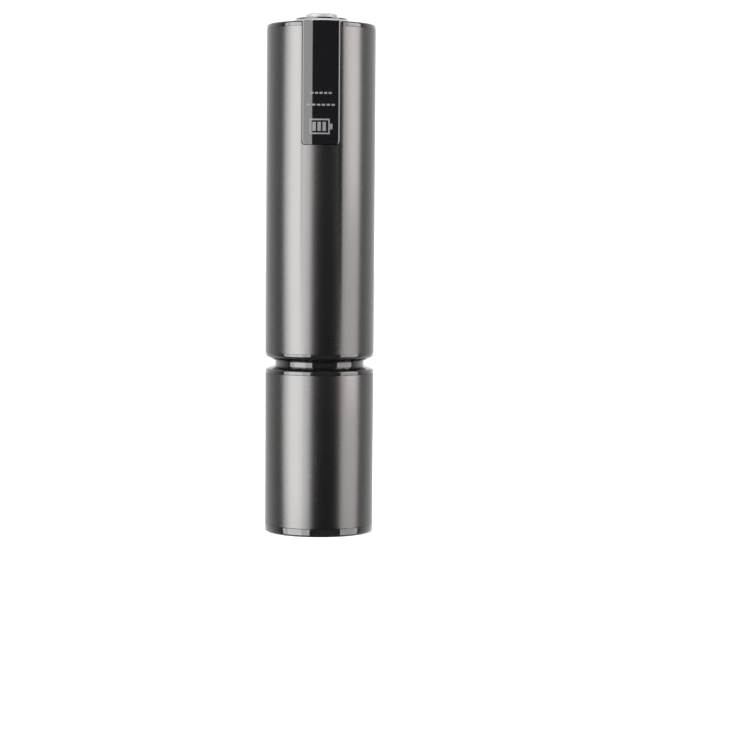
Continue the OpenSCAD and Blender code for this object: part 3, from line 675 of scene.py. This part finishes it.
def soften(node, finish, width, segments=3):
    """Shows an eased copy of a node, its sharp edges bevelled by a width in millimetres."""
    source = nodes[node].data
    mesh = bpy.data.meshes.new(node + "_eased")
    mesh.from_pydata([v.co for v in source.vertices], [],
                     [list(p.vertices) for p in source.polygons])
    work = bmesh.new()
    work.from_mesh(mesh)
    bmesh.ops.remove_doubles(work, verts=work.verts, dist=SAME_POINT)
    bmesh.ops.dissolve_limit(work, angle_limit=SAME_FACE, verts=work.verts, edges=work.edges)
    sharp = [e for e in work.edges if e.is_manifold and e.calc_face_angle() > SHARP_EDGE]
    bmesh.ops.bevel(work, geom=sharp, offset=width * MM, segments=segments, profile=0.5,
                    affect="EDGES", clamp_overlap=True)
    work.to_mesh(mesh)
    work.free()
    mesh.shade_smooth()
    mesh.set_sharp_from_angle(angle=SMOOTH_BELOW)
    piece = show_instead(bpy.data.objects.new(node + "_eased", mesh), node, finish)
    print(piece.name, len(sharp), "sharp edges eased,", len(mesh.polygons), "faces")


# %% Ease the shells and rings
SHELL_EASE = 0.22

for node in ("upper_sleeve", "lower_sleeve"):
    soften(node, "satin_gunmetal", SHELL_EASE)
soften("top_ring", "top_black", SHELL_EASE)
for node in ("upper_end_ring", "lower_end_ring", "base_ring"):
    soften(node, "gloss_black", SHELL_EASE)

# %% [markdown]
# Round pieces are easiest as a lathe would make them: half of the outline, turned round the
# axis. The outline is a closed loop of radius and height, and an arc helper gives the rounded
# corners.

# %% Helpers for turned pieces
LATHE_STEPS = 160


def corner(centre_r, centre_z, r, first, last, steps):
    """An arc of the outline, between two angles in degrees."""
    angles = [math.radians(first + (last - first) * k / steps) for k in range(steps + 1)]
    return [(centre_r + r * math.cos(a), centre_z + r * math.sin(a)) for a in angles]


def lathe(name, outline):
    """Turns a closed outline of radius and height round the axis."""
    count = len(outline)
    corners, faces = [], []
    for k in range(LATHE_STEPS):
        a = 2 * math.pi * k / LATHE_STEPS
        corners += [(r * math.cos(a), r * math.sin(a), z) for r, z in outline]
    for k in range(LATHE_STEPS):
        here, there = k * count, (k + 1) % LATHE_STEPS * count
        for j in range(count):
            n = (j + 1) % count
            faces.append((here + j, there + j, there + n, here + n))
    mesh = bpy.data.meshes.new(name)
    mesh.from_pydata(corners, [], faces)
    mesh.shade_smooth()
    mesh.set_sharp_from_angle(angle=SMOOTH_BELOW)
    return bpy.data.objects.new(name, mesh)


print("one turn takes", LATHE_STEPS, "steps")


# %% [markdown]
# The disc round the button is a bright cone, and a black ring is let into its flat top. The
# cone leans back, so it mirrors the white backdrop above, while the upright edge of the black
# ring draws a thin dark line on it. The ring is black to paint the shadow of a gap round the
# button: a painted shade that stays dark from every side.

# %% Sizes of the disc, its black ring of painted shade and the button's crown
disc_r = outer_r("button_bezel")
disc_low, disc_top = low_z("button_bezel"), high_z("button_bezel")
crown_r = 8.0 * MM
crown_play = 0.1 * MM                   # between the crown and the inlay
cone_r = disc_r - 2.5 * MM              # where the cone ends, at its top
cone_top = disc_top - 0.6 * MM
# the seat and radius of the black ring that paints the shadow of a gap round the button
painted_shade_ring_seat = cone_top - 0.7 * MM
painted_shade_ring_r = cone_r - 0.15 * MM
cavity_r = crown_r + 1.9 * MM           # room below for the button's flange
cavity_top = disc_top - 2.0 * MM
print("crown radius", round(crown_r / MM, 1), "mm in a disc of", round(disc_r / MM, 1), "mm")

# %% Disc
RIM_ROUND = 0.35 * MM
rim_z = high_z("top_ring") + 0.05 * MM

disc = lathe("button_disc",
             [(cavity_r, disc_low), (disc_r, disc_low), (disc_r, rim_z)]
             + corner(disc_r - RIM_ROUND, rim_z, RIM_ROUND, 12, 60, 4)
             + [(cone_r, cone_top), (cone_r, painted_shade_ring_seat), (cavity_r, painted_shade_ring_seat)])
show_instead(disc, "button_bezel", "bright_metal")
print("disc radius", round(disc_r / MM, 1), "mm, cone top", round(cone_top / MM, 1), "mm")

# %% Black ring, a painted shadow of the gap round the button
OUTER_ROUND, INNER_ROUND = 0.2 * MM, 0.3 * MM

# a black ring whose upright edge paints the dark shadow line of a gap round the button
painted_shade_ring = lathe("button_painted_shade_ring",
              [(cavity_r, cavity_top), (painted_shade_ring_r, painted_shade_ring_seat)]
              + corner(painted_shade_ring_r - OUTER_ROUND, disc_top - OUTER_ROUND, OUTER_ROUND, 0, 90, 4)
              + corner(crown_r + crown_play + INNER_ROUND, disc_top - INNER_ROUND,
                       INNER_ROUND, 90, 180, 4)
              + [(crown_r + crown_play, cavity_top)])
scene.collection.objects.link(painted_shade_ring)
painted_shade_ring.data.materials.append(materials["gloss_black"])
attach(painted_shade_ring, nodes["button_bezel"]["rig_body"])
print("inlay stands", round((disc_top - cone_top) / MM, 1), "mm above the cone")

# %% [markdown]
# The button is one turned piece: a crown with a rounded edge over a wide flange that holds it
# in, and a stem down to the switch. Its crown has a faint dish with two fine grooves that a
# fingertip finds.

# %% Outline of the button
STEM_ROUND, FLANGE_ROUND, CROWN_ROUND = 0.3 * MM, 0.2 * MM, 1.0 * MM
GROOVE_HALF, GROOVE_DEEP = 0.14 * MM, 0.10 * MM
CORE_R = 0.02 * MM                      # the outline stops just short of the axis

button_low, button_top = low_z("power_button"), high_z("power_button")
stem_r = 3.0 * MM
flange_r = outer_r("power_button")
flange_top = cavity_top - 0.1 * MM
flange_low = flange_top - 1.3 * MM
dish_z = button_top - 0.12 * MM


def groove(r, z):
    return [(r + GROOVE_HALF, z), (r + GROOVE_HALF / 2, z - GROOVE_DEEP),
            (r - GROOVE_HALF / 2, z - GROOVE_DEEP), (r - GROOVE_HALF, z)]


stem = ([(CORE_R, button_low)]
        + corner(stem_r - STEM_ROUND, button_low + STEM_ROUND, STEM_ROUND, 270, 360, 3)
        + [(stem_r, flange_low)])
flange = (corner(flange_r - FLANGE_ROUND, flange_low + FLANGE_ROUND, FLANGE_ROUND, 270, 360, 3)
          + corner(flange_r - FLANGE_ROUND, flange_top - FLANGE_ROUND, FLANGE_ROUND, 0, 90, 3)
          + [(crown_r, flange_top)])
crown = (corner(crown_r - CROWN_ROUND, button_top - CROWN_ROUND, CROWN_ROUND, 0, 90, 8)
         + [(crown_r - 1.4 * MM, button_top)]
         + groove(crown_r - 2.0 * MM, button_top)
         + groove(crown_r - 2.9 * MM, button_top - 0.03 * MM)
         + [(2.5 * MM, dish_z), (CORE_R, dish_z)])
print("button outline of", len(stem + flange + crown), "points")

# %% Button
button = lathe("button_crown", stem + flange + crown)
show_instead(button, "power_button", "button_grey")
print("button top at", round(button_top / MM, 1), "mm")

# %% [markdown]
# The front panel is a glossy black strip set flush in the sleeve. Its face follows the sleeve's
# curve, and a narrow chamfer runs round its edge. The chamfer faces away from the rest, so on
# one side it mirrors the right hand light as a fine bright line. The strip is a grid of columns
# and rows, closer together at the edges.

# %% Sizes of the front panel
PANEL_GAP = 0.22 * MM
PANEL_THICK = 1.6 * MM
CHAMFER = 0.60 * MM
CHAMFER_DROP = 0.17 * MM
PANEL_CORNER = 1.5 * MM
FACE_SET_IN = 0.06 * MM

panel_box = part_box("control_panel")
face_r = sleeve_r - FACE_SET_IN
panel_half = (panel_box[1].x - panel_box[0].x) / 2 - PANEL_GAP
panel_z0, panel_z1 = panel_box[0].z + PANEL_GAP, panel_box[1].z
edge_steps = [CHAMFER * k / 4 for k in range(5)]
print("panel", round(2 * panel_half / MM, 2), "mm wide,",
      round((panel_z1 - panel_z0) / MM, 1), "mm long")


# %% Helpers for the curved plates
def lines_between(low, high, count, ease_high=True):
    """Grid lines that crowd together at the eased edges."""
    start = [low + s for s in edge_steps]
    stop = [high - s for s in reversed(edge_steps)] if ease_high else [high]
    inner = [start[-1] + (stop[0] - start[-1]) * k / count for k in range(1, count)]
    return start + inner + stop


def half_width(z):
    """Half the strip's width at a height, narrower in the rounded lower corners."""
    below = max(0.0, PANEL_CORNER - (z - panel_z0))
    return panel_half - PANEL_CORNER + math.sqrt(max(0.0, PANEL_CORNER ** 2 - below ** 2))


def panel_point(x, z):
    """A point of the strip's face, lower where the chamfer runs."""
    width = half_width(z)
    x = x * width / panel_half
    inside = min(width - abs(x), z - panel_z0)
    r = face_r - CHAMFER_DROP * max(0.0, 1 - inside / CHAMFER)
    return (x, -math.sqrt(r * r - x * x), z)


def grid_shell(name, xs, zs, front, back_r):
    """A closed curved plate: a front grid, a back grid and the four walls between them."""
    across, up = len(xs), len(zs)
    points = [front(x, z) for z in zs for x in xs]
    back = [(x, -math.sqrt(back_r ** 2 - x ** 2), z) for x, _, z in points]
    total = len(points)
    faces = []
    for j in range(up - 1):
        for i in range(across - 1):
            a = j * across + i
            faces.append((a, a + 1, a + across + 1, a + across))
            faces.append((total + a + across, total + a + across + 1, total + a + 1, total + a))
    rim = (list(range(across)) + [j * across + across - 1 for j in range(1, up)]
           + [(up - 1) * across + i for i in range(across - 2, -1, -1)]
           + [j * across for j in range(up - 2, 0, -1)])
    for k, a in enumerate(rim):
        b = rim[(k + 1) % len(rim)]
        faces.append((b, a, total + a, total + b))
    mesh = bpy.data.meshes.new(name)
    mesh.from_pydata(points + back, [], faces)
    return mesh


# %% Front panel
CHAMFER_SHARP = math.radians(9)

columns = lines_between(-panel_half, panel_half, 26)
rows = lines_between(panel_z0, panel_z1, 40, ease_high=False)
panel_mesh = grid_shell("front_panel", columns, rows, panel_point, face_r - PANEL_THICK)
panel_mesh.shade_smooth()
panel_mesh.set_sharp_from_angle(angle=CHAMFER_SHARP)
panel = bpy.data.objects.new("front_panel", panel_mesh)
show_instead(panel, "control_panel", "panel_gloss")
print("panel of", len(columns), "columns and", len(rows), "rows")

# %% [markdown]
# A little printing sits low on the panel. The real one carries words and a mark, so here it is
# generic: two rows of short dashes and a plain battery sign. Each stroke is a very thin curved
# plate of ink on the panel's face.

# %% Two rows of dashes
DASH_ROWS = [(5, 1.5, 25.0), (6, 1.65, 19.2)]   # count, length and height above the panel's foot
DASH_SPACE, DASH_TALL = 0.75, 0.9
strokes = []                                    # left, right, low and high, in millimetres

for count, length, z in DASH_ROWS:
    start_x = -(count * length + (count - 1) * DASH_SPACE) / 2
    for k in range(count):
        x = start_x + k * (length + DASH_SPACE)
        strokes.append((x, x + length, z, z + DASH_TALL))
print(len(strokes), "dashes")

# %% Battery sign
LEFT, RIGHT, LOW, HIGH = -5.6, 4.4, 5.2, 12.8
LINE = 0.75                                     # the width of the outline
CAP = (RIGHT + 0.1, RIGHT + 1.3, 7.6, 10.4)
BAR_FIRST, BAR_WIDE, BAR_STEP, BAR_INSET = -4.2, 1.7, 2.5, 1.6

strokes += [(LEFT, RIGHT, LOW, LOW + LINE), (LEFT, RIGHT, HIGH - LINE, HIGH),
            (LEFT, LEFT + LINE, LOW + LINE, HIGH - LINE),
            (RIGHT - LINE, RIGHT, LOW + LINE, HIGH - LINE), CAP]
for k in range(3):
    x = BAR_FIRST + BAR_STEP * k
    strokes.append((x, x + BAR_WIDE, LOW + BAR_INSET, HIGH - BAR_INSET))
print(len(strokes), "strokes in all")

# %% Print them on the panel
INK = 0.03 * MM
STROKE_STEP = 0.8 * MM
foot_z = panel_box[0].z


def ink_point(x, z):
    return (x, -math.sqrt((face_r + INK) ** 2 - x * x), z)


ink_mesh = bpy.data.meshes.new("panel_marks")
ink = bmesh.new()
for x0, x1, z0, z1 in [[v * MM for v in edges] for edges in strokes]:
    pieces = max(1, round((x1 - x0) / STROKE_STEP))
    xs = [x0 + (x1 - x0) * k / pieces for k in range(pieces + 1)]
    plate = grid_shell("stroke", xs, [foot_z + z0, foot_z + z1], ink_point, face_r - INK)
    ink.from_mesh(plate)
    bpy.data.meshes.remove(plate)
ink.to_mesh(ink_mesh)
ink.free()
marks = bpy.data.objects.new("panel_marks", ink_mesh)
scene.collection.objects.link(marks)
ink_mesh.materials.append(materials["printed_ink"])
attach(marks, nodes["control_panel"]["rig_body"])
print(len(strokes), "strokes printed")

# %% [markdown]
# The two coil springs are squeezed as the cork guide rises and as the button goes down. Each is
# a round wire wound up a helix, with its end coils lying flat.

# %% Helper for coil springs
WIRE_SIDES = 10
STEPS_PER_TURN = 40
END_RISE = 2.3              # how far a flat end coil climbs, in wire radii
COIL_SHARP = math.radians(50)


def coil_path(radius, wire_r, low, high, turns):
    """A helix of so many open turns, with one flat turn at each end."""
    start_z, stop_z = low + wire_r, high - wire_r
    rise = END_RISE * wire_r
    path = []
    for k in range(int((turns + 2) * STEPS_PER_TURN) + 1):
        t = k / STEPS_PER_TURN
        if t < 1:
            z = start_z + rise * t
        elif t > turns + 1:
            z = stop_z - rise * (turns + 2 - t)
        else:
            z = start_z + rise + (stop_z - start_z - 2 * rise) * (t - 1) / turns
        a = 2 * math.pi * t
        path.append(Vector((radius * math.cos(a), radius * math.sin(a), z)))
    return path


def coil(name, path, wire_r):
    """A round wire along a path, closed at both ends."""
    count = len(path) - 1
    points, faces = [], []
    for k, here in enumerate(path):
        along = (path[min(k + 1, count)] - path[max(k - 1, 0)]).normalized()
        out = Vector((here.x, here.y, 0)).normalized()
        out = (out - out.dot(along) * along).normalized()
        side = along.cross(out)
        for s in range(WIRE_SIDES):
            w = 2 * math.pi * s / WIRE_SIDES
            points.append(here + wire_r * (math.cos(w) * out + math.sin(w) * side))
    for k in range(count):
        for s in range(WIRE_SIDES):
            n = (s + 1) % WIRE_SIDES
            a, b = k * WIRE_SIDES, (k + 1) * WIRE_SIDES
            faces.append((a + s, a + n, b + n, b + s))
    faces.append(tuple(reversed(range(WIRE_SIDES))))
    faces.append(tuple(count * WIRE_SIDES + s for s in range(WIRE_SIDES)))
    mesh = bpy.data.meshes.new(name)
    mesh.from_pydata(points, [], faces)
    mesh.shade_smooth()
    mesh.set_sharp_from_angle(angle=COIL_SHARP)
    return bpy.data.objects.new(name, mesh)


def wind(node, wire_r, turns):
    """Winds a spring in its node's box."""
    low, high = low_z(node), high_z(node)
    path = coil_path(outer_r(node) - wire_r, wire_r, low, high, turns)
    spring = coil(node + "_wire", path, wire_r)
    show_instead(spring, node, "spring_steel")
    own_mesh(spring)


# %% Wind the springs
wind("guide_spring", wire_r=0.6 * MM, turns=6)
wind("button_spring", wire_r=0.4 * MM, turns=4)

# %% [markdown]
# The inner barrel, the cork guide and the rubber seat are seen from below, through the base, so
# their moulded edges are eased too. The narrow bevel catches the light round the opening that
# takes the bottle. The neck's edges get the finest bevel, because they lie deep in the groove.

# %% Ease the pieces at the bottle's opening, and the neck
soften("inner_barrel", "black_plastic", 0.25)
soften("cork_guide", "ivory_plastic", 0.20)
soften("seat_washer", "rubber", 0.15)
soften("neck_ring", "gloss_black", 0.10, segments=2)

# %% [markdown]
# The looks must keep the size of the CAD model, so the visual box is printed at the end, beside
# the CAD height printed at the start.

# %% Print the visual box
visual_low, visual_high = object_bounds()
visual_sides = [round((b - a) / MM, 2) for a, b in zip(visual_low, visual_high)]
print("visual box", visual_sides, "mm")
